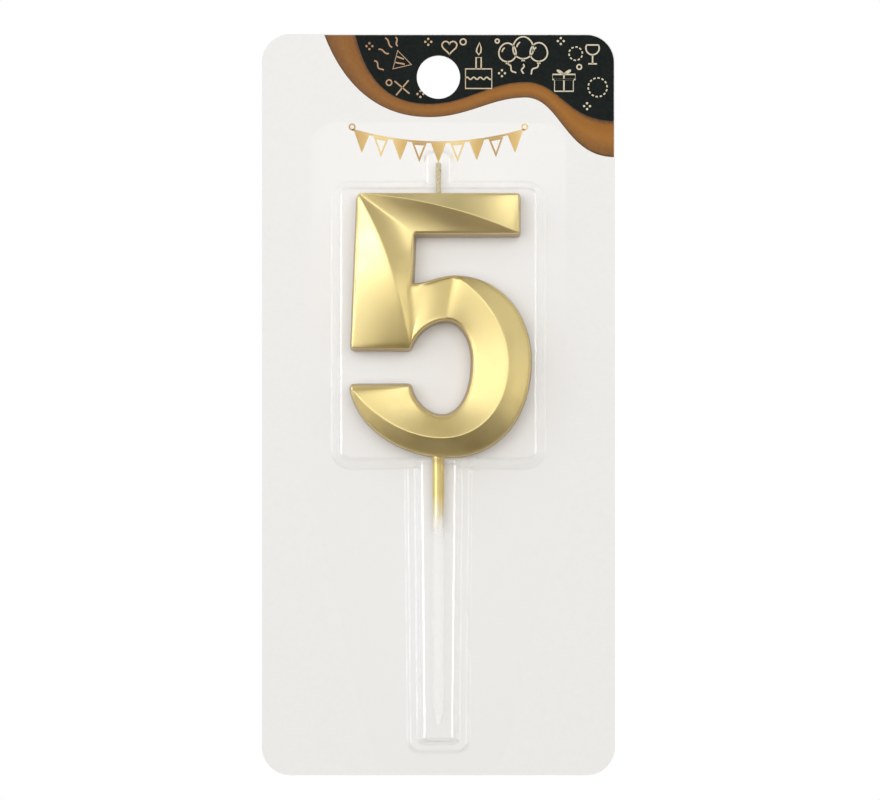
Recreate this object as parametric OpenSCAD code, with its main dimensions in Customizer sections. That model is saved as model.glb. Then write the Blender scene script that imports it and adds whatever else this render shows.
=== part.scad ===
// Number birthday candle in its hanging pack: a faceted wax numeral five with
// a wick and a plastic pick, lying on a printed card under a clear blister.
// Millimetres. Origin at the centre of the hang hole on the back of the card,
// +Z up, and the front of the pack faces -Y.

/* [Card] */
// Width of the backing card
card_w = 90; // [88:1:110]
// Height of the backing card
card_h = 189; // [188:1:210]
// Thickness of the card
card_t = 0.5; // [0.3:0.1:0.8]
// Radius of the card's corners
card_corner_r = 7.2; // [3:0.1:12]
// Radius of the hang hole
hang_r = 5.5; // [3:0.5:6]
// From the top edge of the card to the hang hole's centre
hang_drop = 11; // [9:0.5:12]

/* [Numeral] */
// Height of the numeral's outline above the card
edge_h = 8; // [7:0.5:9]
// How far the ridges of the stem and the bowl stand above the outline
ridge_rise = 3.2; // [2.4:0.1:4.8]
// How far the ridge of the top bar stands above the outline
bar_ridge_rise = 2.7; // [2:0.1:4.2]
// How far the start of the bowl swells above the outline
swell_rise = 1.4; // [0.8:0.1:2.4]
// How far the side walls spread from the face down to the flat back
wall_draft = 0.6; // [0.3:0.1:0.8]
// Gap between the candle's flat back and the card
candle_gap = 0.2; // [0.1:0.1:0.4]

/* [Wick] */
// Radius of the wick
wick_r = 0.75; // [0.5:0.05:1]
// Length of the wick above the numeral
wick_free = 7.8; // [4:0.1:8.5]
// Length of the wick inside the wax
wick_inside = 7.5; // [5:0.5:8]

/* [Pick] */
// Radius of the pick
pick_r = 1.5; // [1.2:0.1:1.8]
// Length of the pick below the numeral
pick_free = 68; // [50:1:70]
// Length of the pick inside the wax
pick_inside = 8; // [5:0.5:8.5]
// Length of the pointed tip
pick_tip = 6; // [3:0.5:10]

/* [Blister] */
// Thickness of the clear sheet
sheet_t = 0.4; // [0.3:0.05:0.5]
// Depth of the cavity over the numeral
cavity_depth = 15; // [14.8:0.2:18]
// Depth of the channel over the pick
channel_depth = 9; // [8:0.5:11]
// Depth of the step along both sides of that channel
step_depth = 3; // [2.5:0.5:4]
// Depth of the channel over the wick
wick_cover_depth = 7.5; // [7:0.5:9]
// Thickness of the heat-seal lacquer under the flange
seal_t = 0.05; // [0.05:0.01:0.1]

/* [Hidden] */

// Steps along each curve of the numeral.
curve_steps = 14;
round_fn = 48;
dome_fn = 24;

// Lower left corner of the numeral on the card, in the drawing plane.
numeral_at = [-22.2, -96.9];
// The wick and the pick share one upright line, half way into the outline.
axis_x = 22.2;
axis_depth = edge_h / 2;
candle_z = card_t + candle_gap;

// Corners and curves of the numeral's face, from its lower left corner.
top_left = [2.2, 66.7];
top_right = [42.9, 66.7];
bar_end = [42.9, 56.6];
notch_top = [16.4, 56.5];
notch_low = [15.9, 44.0];
stem_left = [0.6, 27.6];
stem_right = [15.3, 27.5];
bowl_top = [26.8, 45.8];
hole_top = [24.7, 34.8];
tail_left = [0.3, 18.2];
tail_right = [15.2, 18.3];
bowl_start = [[notch_low, [18.6, 43.2], [22.4, 45.8], bowl_top]];
bowl_outer = [
    [bowl_top, [37.7, 45.8], [45.8, 36.7], [45.8, 24.5]],
    [[45.8, 24.5], [45.8, 9.7], [37.2, 0.3], [25.2, 0.3]],
    [[25.2, 0.3], [12.5, 0.3], [1.5, 8.4], tail_left]
];
hole_start = [[stem_right, [16.3, 31.1], [19.9, 34.8], hole_top]];
hole_inner = [
    [hole_top, [28.5, 34.8], [31.3, 29.8], [31.3, 24.5]],
    [[31.3, 24.5], [31.3, 16.3], [28.3, 10.4], [23.4, 10.4]],
    [[23.4, 10.4], [19.4, 10.5], [15.9, 14.3], tail_right]
];
stem_ridge = [[top_left, [8.1, 57.3], [13.7, 40.2], stem_right]];
bar_ridge = [[top_left, [15.0, 65.7], [29.3, 62.4], bar_end]];
bowl_ridge = [
    [bowl_top, [34.6, 41.0], [40.1, 31.8], [40.1, 23.4]],
    [[40.1, 23.4], [40.1, 13.5], [33.4, 5.1], [23.4, 5.1]],
    [[23.4, 5.1], [14.5, 5.1], [5.3, 10.9], tail_left]
];

// Share of the stem's ridge that lies above the notch's lower corner.
stem_split = 0.7;

function bezier(p, t) =
    let (s = 1 - t)
    s * s * s * p[0] + 3 * s * s * t * p[1] + 3 * s * t * t * p[2] + t * t * t * p[3];

// Points along a chain of curves, both ends included.
function along(chain, steps) = [
    for (k = [0:len(chain) * steps])
        let (i = min(floor(k / steps), len(chain) - 1))
        bezier(chain[i], k / steps - i)
];

function straight(a, b, steps) = [for (k = [0:steps]) a + (b - a) * k / steps];
function backwards(v) = [for (k = [len(v) - 1:-1:0]) v[k]];
function without_last(v) = [for (k = [0:len(v) - 2]) v[k]];
function share(v, a, b) = [for (k = [a:b]) v[k]];

// The same points with a height that rises from the outline and returns to it.
function raised(v, rise, skew, fullness) = [
    for (k = [0:len(v) - 1])
        let (t = k / (len(v) - 1))
        [v[k].x, v[k].y, edge_h + rise * pow(max(sin(180 * pow(t, skew)), 0), fullness)]
];
function at_edge(v) = [for (p = v) [p.x, p.y, edge_h]];
function on_back(p) = [p.x, p.y, 0];

// Face curves as points with heights.
stem_steps = 2 * curve_steps;
split_step = round(stem_split * stem_steps);
stem_top_line = raised(along(stem_ridge, stem_steps), ridge_rise, 1, 0.8);
bar_top_line = raised(along(bar_ridge, stem_steps), bar_ridge_rise, 1.2, 0.9);
bowl_top_line = raised(along(bowl_ridge, curve_steps), ridge_rise, 1, 0.5);
stem_side = at_edge(straight(top_left, stem_left, stem_steps));
top_side = at_edge(straight(top_left, top_right, stem_steps));
bar_under = at_edge(straight(notch_top, bar_end, stem_steps));
notch_side = at_edge(straight(notch_top, notch_low, split_step));
hole_start_side = raised(along(hole_start, curve_steps), swell_rise, 1, 0.8);
bowl_side = at_edge(along(bowl_outer, curve_steps));
hole_side = at_edge(along(hole_inner, curve_steps));

// The bowl starts as one twisted facet: it runs on from the foot of the stem's ridge,
// fans round the lower right corner of the stem, and then follows the hole's edge.
fan_steps = 4;
fan_reach = [0.2, 0.4];
swell_low = concat(
    share(stem_top_line, split_step, stem_steps),
    [for (k = [1:fan_steps]) stem_top_line[stem_steps]],
    share(hole_start_side, 1, curve_steps)
);
swell_places = concat(
    straight(0, fan_reach[0], stem_steps - split_step),
    share(straight(fan_reach[0], fan_reach[1], fan_steps), 1, fan_steps),
    share(straight(fan_reach[1], 1, curve_steps), 1, curve_steps)
);
swell_high = [
    for (t = swell_places)
        let (p = bezier(bowl_start[0], t))
        [p.x, p.y, edge_h + swell_rise * pow(max(sin(180 * t), 0), 1.3)]
];

// Each facet is the strip between two lines with the same number of points.
// The first line lies on the left of the second one, seen along their run.
facets = [
    [stem_top_line, stem_side],
    [top_side, bar_top_line],
    [bar_top_line, bar_under],
    [notch_side, share(stem_top_line, 0, split_step)],
    [swell_high, swell_low],
    [bowl_top_line, hole_side],
    [bowl_side, bowl_top_line]
];

// The whole outline, anticlockwise from the top left corner.
outline = concat(
    without_last(stem_side),
    [at_edge([stem_left])[0]],
    without_last(hole_start_side),
    hole_side,
    without_last(backwards(bowl_side)),
    without_last(backwards(swell_high)),
    without_last(backwards(notch_side)),
    bar_under,
    without_last(backwards(top_side))
);

function outward(a, b) = let (d = (b - a) / norm(b - a)) [d.y, -d.x];

// The foot of the wall under each outline point, moved out by the draft.
function wall_foot(v) = [
    for (k = [0:len(v) - 1])
        let (
            p = [v[k].x, v[k].y],
            before = v[(k + len(v) - 1) % len(v)],
            after = v[(k + 1) % len(v)],
            a = outward([before.x, before.y], p),
            b = outward(p, [after.x, after.y]),
            out = p + wall_draft * (a + b) / (1 + a * b)
        )
        [out.x, out.y, 0]
];
outline_foot = wall_foot(outline);

function strip_points(f) = concat(f[0], f[1]);
function strip_faces(n, start) = [
    for (k = [0:n - 2])
        for (tri = [[k, k + 1, n + k], [k + 1, n + k + 1, n + k]])
            [for (i = tri) start + i]
];
function same(a, b) = norm(a - b) < 1e-9;
function is_sliver(p, f) = same(p[f[0]], p[f[1]]) || same(p[f[1]], p[f[2]])
    || same(p[f[2]], p[f[0]]);
function facet_start(i) = i == 0 ? 0 : facet_start(i - 1) + 2 * len(facets[i - 1][0]);

// The drafted body of the numeral, before the wick and the pick go in.
module numeral_block() {
    face_points = [for (f = facets) each strip_points(f)];
    count = len(face_points);
    loop = len(outline);
    // A point of the back is the foot of its outline point, or lies under its ridge.
    back_points = [
        for (p = face_points)
            let (hit = [for (k = [0:loop - 1]) if (same(outline[k], p)) k])
            len(hit) > 0 ? outline_foot[hit[0]] : on_back(p)
    ];
    points = concat(face_points, back_points, outline, outline_foot);
    face = [for (i = [0:len(facets) - 1])
        each strip_faces(len(facets[i][0]), facet_start(i))];
    back = [for (f = face) [f[2] + count, f[1] + count, f[0] + count]];
    wall = [
        for (k = [0:loop - 1])
            let (a = 2 * count + k, b = 2 * count + (k + 1) % loop)
            each [[a, b, a + loop], [b, b + loop, a + loop]]
    ];
    faces = [for (f = concat(face, back, wall)) if (!is_sliver(points, f)) f];
    polyhedron(points = points, faces = faces, convexity = 8);
}

// Turns what is drawn face up on the table so that it stands and faces -Y.
module upright() {
    rotate([90, 0, 0]) children();
}

// Puts children on the upright line through the candle, with +Z up the line.
module on_candle_axis(height) {
    translate([numeral_at.x + axis_x, -(candle_z + axis_depth), numeral_at.y + height])
        children();
}

wick_top = top_left.y + wick_free;
wick_foot = top_left.y - wick_inside;
pick_top = pick_inside;
pick_foot = -pick_free;

module wick_body(extra) {
    on_candle_axis(wick_foot)
        cylinder(r = wick_r, h = wick_top - wick_foot + extra, $fn = round_fn);
}

// The pick is turned round its own line: a point, a plain shaft that ends just below
// the wax, and a thinner root with one ring that keeps it in the wax.
module pick_body() {
    shoulder_gap = 0.5;
    ring_depth = 0.3;
    ring_foot = 4;
    ring_h = 2;
    nose_r = 0.3;
    on_candle_axis(0)
        rotate_extrude($fn = round_fn)
            polygon([
                [0, pick_foot],
                [nose_r, pick_foot],
                [pick_r, pick_foot + pick_tip],
                [pick_r, -shoulder_gap],
                [pick_r - ring_depth, -shoulder_gap],
                [pick_r - ring_depth, ring_foot],
                [pick_r, ring_foot],
                [pick_r, ring_foot + ring_h],
                [pick_r - ring_depth, ring_foot + ring_h],
                [pick_r - ring_depth, pick_top],
                [0, pick_top]
            ]);
}

module wax_numeral() {
    color("goldenrod")
        difference() {
            upright()
                translate([numeral_at.x, numeral_at.y, candle_z]) numeral_block();
            wick_body(1);
            pick_body();
        }
}

module wick() {
    color("khaki")
        wick_body(0);
}

module pick() {
    color("whitesmoke")
        pick_body();
}

module rounded_rectangle(w, h, r) {
    translate([r - w / 2, -h / 2]) square([w - 2 * r, h]);
    translate([-w / 2, r - h / 2]) square([w, h - 2 * r]);
    for (x = [-1, 1], y = [-1, 1])
        translate([x * (w / 2 - r), y * (h / 2 - r)]) circle(r = r, $fn = round_fn);
}

module backing_card() {
    color("white")
        upright()
            linear_extrude(card_t)
                difference() {
                    translate([0, hang_drop - card_h / 2])
                        rounded_rectangle(card_w, card_h, card_corner_r);
                    circle(r = hang_r, $fn = round_fn);
                }
}

// Outline of the sheet: straight beside the cavity, then drawn in to the foot.
flange_top = -11.6;
flange_waist = -106;
flange_foot = -177.2;
flange_half_w = 32.5;
flange_foot_half_w = 16;
flange_r = 6;

module flange(t) {
    linear_extrude(t) {
        hull()
            for (x = [-1, 1], y = [flange_top - flange_r, flange_waist])
                translate([x * (flange_half_w - flange_r), y])
                    circle(r = flange_r, $fn = dome_fn);
        hull()
            for (x = [-1, 1]) {
                translate([x * (flange_half_w - flange_r), flange_waist])
                    circle(r = flange_r, $fn = dome_fn);
                translate([x * (flange_foot_half_w - flange_r), flange_foot + flange_r])
                    circle(r = flange_r, $fn = dome_fn);
            }
    }
}

// A drawn pocket from its half widths at the top and the foot, its two ends, how far
// its crown is drawn in at the sides and the ends, and its radii. skin is how far its
// surface lies inside the sheet's outer surface. With a skin it also runs down
// through the flange, so that it can be cut out of the solid pocket.
module pocket(half_top, half_foot, top, foot, side_in, end_in, base_r, dome_r, depth, skin) {
    corners = [for (x = [-1, 1], e = [[half_top, top, -1], [half_foot, foot, 1]])
        [x, e[0], e[1], e[2]]];
    hull()
        for (c = corners) {
            translate([c[0] * (c[1] - base_r), c[2] + c[3] * base_r, skin > 0 ? -1 : 0])
                cylinder(r = base_r - skin, h = skin > 0 ? 1.01 : 0.01, $fn = dome_fn);
            translate([
                c[0] * (c[1] - side_in - dome_r),
                c[2] + c[3] * (end_in + dome_r),
                depth - dome_r
            ])
                sphere(r = dome_r - skin, $fn = dome_fn);
        }
}

module pockets(skin = 0) {
    // Over the numeral.
    pocket(27.3, 27.3, -26.6, -100, 3, 2, 5, 3.4, cavity_depth, skin);
    // Over the wick.
    pocket(4.1, 4.1, -18.6, -34, 0.9, 0.9, 2.6, 2.2, wick_cover_depth, skin);
    // Step beside the pick, and the channel over the pick.
    pocket(8.8, 8, -90, -172.4, 0.8, 0.8, 3.4, 1.6, step_depth, skin);
    pocket(7, 6.2, -90, -170.6, 2.4, 2.4, 3, 2.2, channel_depth, skin);
}

module blister() {
    color("lightcyan", 0.35)
        upright()
            translate([0, 0, card_t + seal_t])
                difference() {
                    union() {
                        flange(sheet_t);
                        pockets();
                    }
                    pockets(sheet_t);
                }
}

backing_card();
blister();
wax_numeral();
wick();
pick();
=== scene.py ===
"""Number birthday candle in its hanging pack: the looks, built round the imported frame."""

import math

import bmesh
import bpy
import numpy as np
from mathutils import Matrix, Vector


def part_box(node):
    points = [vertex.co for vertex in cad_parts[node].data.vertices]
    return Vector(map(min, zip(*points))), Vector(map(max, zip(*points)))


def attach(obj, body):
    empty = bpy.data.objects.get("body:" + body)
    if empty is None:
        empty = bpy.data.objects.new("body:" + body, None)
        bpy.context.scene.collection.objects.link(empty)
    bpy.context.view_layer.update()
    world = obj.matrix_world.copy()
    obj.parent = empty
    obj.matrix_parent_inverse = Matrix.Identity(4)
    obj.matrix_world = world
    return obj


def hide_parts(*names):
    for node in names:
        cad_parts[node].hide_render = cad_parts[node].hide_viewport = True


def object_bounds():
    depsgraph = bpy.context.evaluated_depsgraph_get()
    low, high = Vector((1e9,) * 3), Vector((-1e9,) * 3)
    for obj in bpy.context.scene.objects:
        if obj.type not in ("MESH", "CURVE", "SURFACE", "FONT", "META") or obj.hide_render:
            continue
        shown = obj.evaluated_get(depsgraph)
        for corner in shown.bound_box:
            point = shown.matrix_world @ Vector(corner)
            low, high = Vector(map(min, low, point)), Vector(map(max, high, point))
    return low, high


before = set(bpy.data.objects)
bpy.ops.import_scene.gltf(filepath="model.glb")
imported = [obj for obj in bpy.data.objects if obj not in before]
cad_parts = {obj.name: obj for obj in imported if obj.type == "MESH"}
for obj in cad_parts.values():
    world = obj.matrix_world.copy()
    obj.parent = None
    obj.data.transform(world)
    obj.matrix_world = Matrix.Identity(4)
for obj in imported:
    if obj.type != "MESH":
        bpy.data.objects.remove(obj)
cad_low, cad_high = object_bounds()

MM = 0.001
TINY = 1e-12
CAD_BOX = {name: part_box(name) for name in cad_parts}
CARD_FRONT = -CAD_BOX["backing_card"][0].y / MM
FLANGE_BACK = -CAD_BOX["blister"][1].y / MM
CROWN_FRONT = -CAD_BOX["blister"][0].y / MM


# ---------------------------------------------------------------- mesh helpers


def in_pack(x, z, height):
    """A point in metres, from its place on the card and its height over the card's back."""
    return (x * MM, -height * MM, z * MM)


def new_piece(name, points, faces, body, slot, material, smooth=True):
    """A mesh piece that rides on a body and takes the given material. The slot is not used."""
    mesh = bpy.data.meshes.new(name)
    mesh.from_pydata([tuple(p) for p in points], [], faces)
    mesh.polygons.foreach_set("use_smooth", [smooth] * len(mesh.polygons))
    mesh.materials.append(material)
    piece = bpy.data.objects.new(name, mesh)
    bpy.context.scene.collection.objects.link(piece)
    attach(piece, body)
    return piece


def turn_outward(piece, merge=0.0):
    """Points every face of a closed mesh outwards, once points nearer than merge are one."""
    bm = bmesh.new()
    bm.from_mesh(piece.data)
    if merge:
        bmesh.ops.remove_doubles(bm, verts=bm.verts, dist=merge)
    bmesh.ops.recalc_face_normals(bm, faces=bm.faces)
    bm.to_mesh(piece.data)
    bm.free()


def cubic(points, t):
    """Points of one cubic curve, at shares t of its way."""
    t = t[:, None]
    s = 1 - t
    p = np.array(points, float)
    return s**3 * p[0] + 3 * s * s * t * p[1] + 3 * s * t * t * p[2] + t**3 * p[3]


def bezier(points, steps):
    """Points along one cubic curve, both ends included."""
    return cubic(points, np.linspace(0, 1, steps + 1))


def chain(curves, steps):
    """Points along joined curves, with each joint counted once."""
    parts = [bezier(c, steps) for c in curves]
    return np.vstack([p[:-1] for p in parts[:-1]] + [parts[-1]])


def line(a, b, steps):
    return np.linspace(a, b, steps + 1)


def tube_faces(rings, sides):
    """The faces of a tube with closed ends, whose points come ring by ring."""
    faces = []
    for i in range(rings - 1):
        for k in range(sides):
            j = (k + 1) % sides
            faces.append([i * sides + k, i * sides + j, (i + 1) * sides + j, (i + 1) * sides + k])
    faces.append(list(range(sides))[::-1])
    faces.append([(rings - 1) * sides + k for k in range(sides)])
    return faces


def gather(parts):
    """Several (points, faces) as one."""
    points, faces = [], []
    for p, f in parts:
        faces += [[i + len(points) for i in face] for face in f]
        points += p
    return points, faces


def loop_normals(loop):
    """The outward direction at each point of an anticlockwise loop, longer at a corner."""
    ahead = np.roll(loop, -1, axis=0) - loop
    ahead /= np.linalg.norm(ahead, axis=1)[:, None] + TINY
    out = np.stack([ahead[:, 1], -ahead[:, 0]], axis=1)
    before = np.roll(out, 1, axis=0)
    scale = 1 + np.sum(out * before, axis=1)
    return (out + before) / np.maximum(scale, 0.5)[:, None]


# ------------------------------------------------------------------ materials


class Tree:
    """A short way to write a node tree."""

    def __init__(self, tree):
        self.tree = tree

    def add(self, kind, **values):
        node = self.tree.nodes.new(kind)
        for key, value in values.items():
            if hasattr(node, key):
                setattr(node, key, value)
            else:
                node.inputs[key].default_value = value
        return node

    def link(self, a, b):
        self.tree.links.new(a, b)

    def ramp(self, source, stops):
        node = self.add("ShaderNodeValToRGB")
        marks = node.color_ramp.elements
        while len(marks) < len(stops):
            marks.new(0.5)
        for mark, (at, colour) in zip(marks, stops):
            mark.position = at
            mark.color = (*colour, 1)
        self.link(source, node.inputs["Fac"])
        return node.outputs["Color"]

    def spread(self, source, low, high, to_low, to_high, kind="LINEAR"):
        node = self.add("ShaderNodeMapRange", interpolation_type=kind)
        for key, value in zip(
            ("From Min", "From Max", "To Min", "To Max"), (low, high, to_low, to_high)
        ):
            node.inputs[key].default_value = value
        self.link(source, node.inputs["Value"])
        return node.outputs["Result"]

    def math(self, operation, a, b):
        node = self.add("ShaderNodeMath", operation=operation)
        for socket, value in zip(node.inputs, (a, b)):
            if isinstance(value, (int, float)):
                socket.default_value = value
            else:
                self.link(value, socket)
        return node.outputs[0]

    def blend(self, factor, a, b, kind="MIX"):
        node = self.add("ShaderNodeMix", data_type="RGBA", blend_type=kind)
        sockets = (node.inputs[0], node.inputs[6], node.inputs[7])
        for socket, value in zip(sockets, (factor, a, b)):
            if isinstance(value, tuple):
                socket.default_value = (*value, 1)
            elif isinstance(value, (int, float)):
                socket.default_value = value
            else:
                self.link(value, socket)
        return node.outputs[2]

    def either(self, factor, a, b, output):
        """Two shaders mixed by a factor, as what the output shows."""
        mix = self.add("ShaderNodeMixShader")
        for socket, value in zip(mix.inputs, (factor, a, b)):
            self.link(value, socket)
        self.link(mix.outputs[0], output.inputs["Surface"])


class Nodes(Tree):
    """A short way to write a material."""

    def __init__(self, name):
        self.material = bpy.data.materials.new(name)
        self.material.use_nodes = True
        super().__init__(self.material.node_tree)
        self.shader = self.tree.nodes["Principled BSDF"]

    def set(self, **values):
        for key, value in values.items():
            self.shader.inputs[key.replace("_", " ")].default_value = value

    def place(self):
        return self.add("ShaderNodeTexCoord").outputs["Object"]

    def noise(self, scale, detail=2.0, rough=0.5):
        node = self.add("ShaderNodeTexNoise")
        node.inputs["Scale"].default_value = scale
        node.inputs["Detail"].default_value = detail
        node.inputs["Roughness"].default_value = rough
        self.link(self.place(), node.inputs["Vector"])
        return node.outputs["Fac"]

    def mottle(self, scale, detail, low, high, rough=0.5, edges=(0.3, 0.7)):
        """Noise, spread from low to high."""
        return self.spread(self.noise(scale, detail, rough), *edges, low, high)

    def bump(self, height, strength, distance):
        node = self.add("ShaderNodeBump")
        node.inputs["Strength"].default_value = strength
        node.inputs["Distance"].default_value = distance
        self.link(height, node.inputs["Height"])
        self.link(node.outputs["Normal"], self.shader.inputs["Normal"])

    def colour(self, source):
        self.link(source, self.shader.inputs["Base Color"])

    def roughness(self, source):
        self.link(source, self.shader.inputs["Roughness"])

    def axis(self, index):
        node = self.add("ShaderNodeSeparateXYZ")
        self.link(self.place(), node.inputs[0])
        return node.outputs[index]

    def half_clear(self, share, tint):
        """Lets light straight through, apart from the share that the shader takes."""
        clear = self.add("ShaderNodeBsdfTransparent", Color=(*tint, 1))
        output = self.tree.nodes["Material Output"]
        self.either(share, clear.outputs[0], self.shader.outputs[0], output)


def gold_wax():
    """Satin champagne lacquer on wax, sprayed from the front, with painted shade that turns it
    browner down the walls (partly thinner lacquer there).
    """
    m = Nodes("gold_wax")
    m.set(Metallic=1.0)
    base = m.ramp(m.noise(70, 3.0), [(0.3, (0.775, 0.635, 0.275)), (0.7, (0.815, 0.68, 0.32))])
    grain = m.mottle(1700, 4.0, 0, 0.22, rough=0.75, edges=(0.35, 0.75))
    base = m.blend(grain, base, (0.60, 0.47, 0.19))
    edge = CANDLE_BACK + EDGE_H
    # Painted shade: the walls below the edge are darkened the way the shade they catch would
    # darken them, with some thinner lacquer there too.
    wall_painted_shade = m.spread(m.axis(1), *(-(edge - depth) * MM for depth in WALL_SHADE_FADE), 0, 1)
    m.colour(m.blend(wall_painted_shade, base, (0.44, 0.31, 0.12)))
    m.roughness(m.mottle(240, 2.0, 0.38, 0.44))
    m.bump(m.noise(3600, 3.0), 0.3, 0.02 * MM)
    return m.material


def card_board():
    """Coated white board with a faint mottle of fibres."""
    m = Nodes("card_board")
    m.set(Roughness=0.42, Specular_IOR_Level=0.4)
    fibres = m.noise(900, 4.0, 0.65)
    m.colour(m.ramp(fibres, [(0.3, (0.90, 0.90, 0.89)), (0.7, (0.92, 0.92, 0.91))]))
    m.bump(m.noise(2600, 3.0), 0.05, 0.01 * MM)
    return m.material


def ink_black():
    m = Nodes("ink_black")
    m.set(Specular_IOR_Level=0.07)
    darks = [(0.3, (0.006, 0.009, 0.008)), (0.7, (0.011, 0.015, 0.013))]
    m.colour(m.ramp(m.noise(1400, 3.0), darks))
    m.roughness(m.mottle(500, 2.0, 0.42, 0.52))
    return m.material


def ink_gold_band():
    """Printed bronze: darker at both edges, lighter along the middle of the wave."""
    m = Nodes("ink_gold_band")
    m.set(Specular_IOR_Level=0.12)
    across = m.add("ShaderNodeAttribute", attribute_name="across").outputs["Fac"]
    tone = m.ramp(
        across,
        [
            (0.0, (0.05, 0.03, 0.018)),
            (0.08, (0.21, 0.095, 0.028)),
            (0.5, (0.38, 0.157, 0.028)),
            (0.86, (0.32, 0.125, 0.02)),
            (1.0, (0.04, 0.028, 0.02)),
        ],
    )
    sides = m.spread(m.axis(0), -0.03, 0.02, 0.45, 0.0)
    tone = m.blend(sides, tone, (0.19, 0.09, 0.045))
    grain = m.mottle(1100, 4.0, 0, 0.22, rough=0.7, edges=(0.35, 0.7))
    m.colour(m.blend(grain, tone, (0.42, 0.22, 0.08)))
    m.roughness(m.mottle(400, 2.0, 0.38, 0.48))
    return m.material


def ink_line():
    """Line ink that runs from copper on the left to cream on the right."""
    m = Nodes("ink_line")
    m.set(Roughness=0.4)
    along = m.spread(m.axis(0), -0.02, 0.022, 0, 1)
    tone = m.ramp(
        along, [(0.0, (0.42, 0.20, 0.09)), (0.5, (0.66, 0.50, 0.30)), (1.0, (0.74, 0.68, 0.50))]
    )
    m.colour(m.blend(m.mottle(2000, 2.0, 0, 0.2), tone, (0.3, 0.2, 0.1)))
    return m.material


def ink_ornament():
    """Gold ink with a soft sweep of light and dark along the garland."""
    m = Nodes("ink_ornament")
    m.set(Roughness=0.35, Metallic=0.25)
    wave = m.math("SINE", m.math("MULTIPLY", m.axis(0), 330.0), 0.0)
    sweep = m.spread(wave, -1, 1, 0, 1)
    tone = m.ramp(
        sweep, [(0.0, (0.43, 0.25, 0.05)), (0.5, (0.60, 0.39, 0.10)), (1.0, (0.76, 0.56, 0.22))]
    )
    m.colour(m.blend(m.mottle(1500, 3.0, 0, 0.15), tone, (0.3, 0.18, 0.05)))
    return m.material


def clear_sheet():
    """Clear sheet: all but unseen face on, with a bright gloss where it turns away."""
    m = Nodes("clear_sheet")
    m.set(Base_Color=(1, 1, 1, 1), Metallic=1.0)
    m.roughness(m.mottle(160, 2.0, 0.12, 0.19))
    m.bump(m.noise(130, 2.0), 0.05, 0.3 * MM)
    turned = m.add("ShaderNodeLayerWeight", Blend=0.32).outputs["Facing"]
    share = m.spread(m.math("POWER", turned, 1.2), 0.0, 1.0, 0.006, 0.75)
    m.half_clear(share, (0.998, 0.999, 0.999))
    return m.material


def wick_cotton():
    """Waxed cotton, with scattered dark specks."""
    m = Nodes("wick_cotton")
    m.set(Roughness=0.62, Sheen_Weight=0.3)
    base = m.ramp(m.noise(1800, 4.0), [(0.3, (0.56, 0.46, 0.25)), (0.7, (0.72, 0.64, 0.42))])
    specks = m.mottle(1500, 1.0, 0, 0.75, edges=(0.68, 0.74))
    m.colour(m.blend(specks, base, (0.10, 0.09, 0.06)))
    m.bump(m.noise(6500, 3.0), 0.35, 0.05 * MM)
    return m.material


def pick_plastic():
    """Cloudy, half clear plastic, with the gold lacquer's overspray fading out below the wax."""
    m = Nodes("pick_plastic")
    m.set(Specular_IOR_Level=0.2)
    wax_foot = CAD_BOX["wax_numeral"][0].z
    full_gold, no_gold, full_cloud = (wax_foot - down * MM for down in (8, 21, 10))
    ragged = m.math("MULTIPLY", m.mottle(350, 3.0, -1, 1, edges=(0, 1)), 1.2 * MM)
    height = m.math("ADD", m.axis(2), ragged)
    gold = m.spread(height, no_gold, full_gold, 0, 1, "SMOOTHSTEP")
    cloudy = m.spread(height, no_gold, full_cloud, 0.14, 1, "SMOOTHSTEP")
    m.colour(m.blend(gold, (0.97, 0.97, 0.96), (0.70, 0.55, 0.22)))
    m.link(m.spread(gold, 0, 1, 0.0, 0.9), m.shader.inputs["Metallic"])
    m.roughness(m.mottle(300, 2.0, 0.3, 0.36))
    m.half_clear(cloudy, (1, 1, 1))
    return m.material


# -------------------------------------------------------------------- numeral

# Lengths in millimetres. A height is over the numeral's back.
CANDLE_BACK = -CAD_BOX["wax_numeral"][1].y / MM
EDGE_H = 8.0
RIDGE_RISE = 3.2
BAR_RIDGE_RISE = 2.7
SWELL_RISE = 1.4
HOLLOW = 0.3  # how far the bar's lower facet dips
WALL_DRAFT = 0.6
# The next line sets how far below the edge the painted shade on the walls starts and ends.
WALL_SHADE_FADE = (0.5, 1.8)  # how far below the edge the lacquer starts and ends turning browner
EDGE_R = 0.45
FOOT_BEVEL = (0.3, 0.25)  # its height and its width
CURVE_STEPS = 40
ACROSS = 16
EDGE_RINGS = 5
FAN_STEPS = 12
FAN_REACH = (0, 0.2, 0.4, 1)  # shares of the bowl's first edge: ridge's foot, fan, hole's edge
# How many rounds of smoothing each of these gets.
RIDGE_SOFTENING = 7
CORNER_ROUNDING = 4
TWIST_SMOOTHING = 160
VALLEY_SMOOTHING = 260
VALLEY_HALF_W = (1.0, 4.8)  # how far the smoothing reaches at the fold's start and end
VALLEY_PULL = (0.02, 0.7)  # the least pull that still counts, and how much of it one round takes
NEAREST = 0.02  # added to a neighbour's distance, so that a very near one doesn't win outright
# Points nearer than this are one: facets and slivers in millimetres, the wax in metres.
FACET_MERGE, SLIVER, WAX_MERGE = 1e-4, 1e-5, 1e-7
LEAST_RISE = 1e-6  # over the edge, for a point to belong to a facet

# The outline's corners, from the numeral's lower left.
TOP_LEFT = (2.2, 66.7)
TOP_RIGHT = (42.9, 66.7)
BAR_END = (42.9, 56.6)
NOTCH_TOP = (16.4, 56.5)
NOTCH_LOW = (15.9, 44.0)
STEM_LEFT = (0.6, 27.6)
STEM_RIGHT = (15.3, 27.5)
BOWL_TOP = (26.8, 45.8)
HOLE_TOP = (24.7, 34.8)
TAIL_LEFT = (0.3, 18.2)
TAIL_RIGHT = (15.2, 18.3)
STEM_SPLIT = 0.7  # the share of the stem's ridge above the bowl's first facet
SWELL_FULLNESS = 1.3


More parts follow.
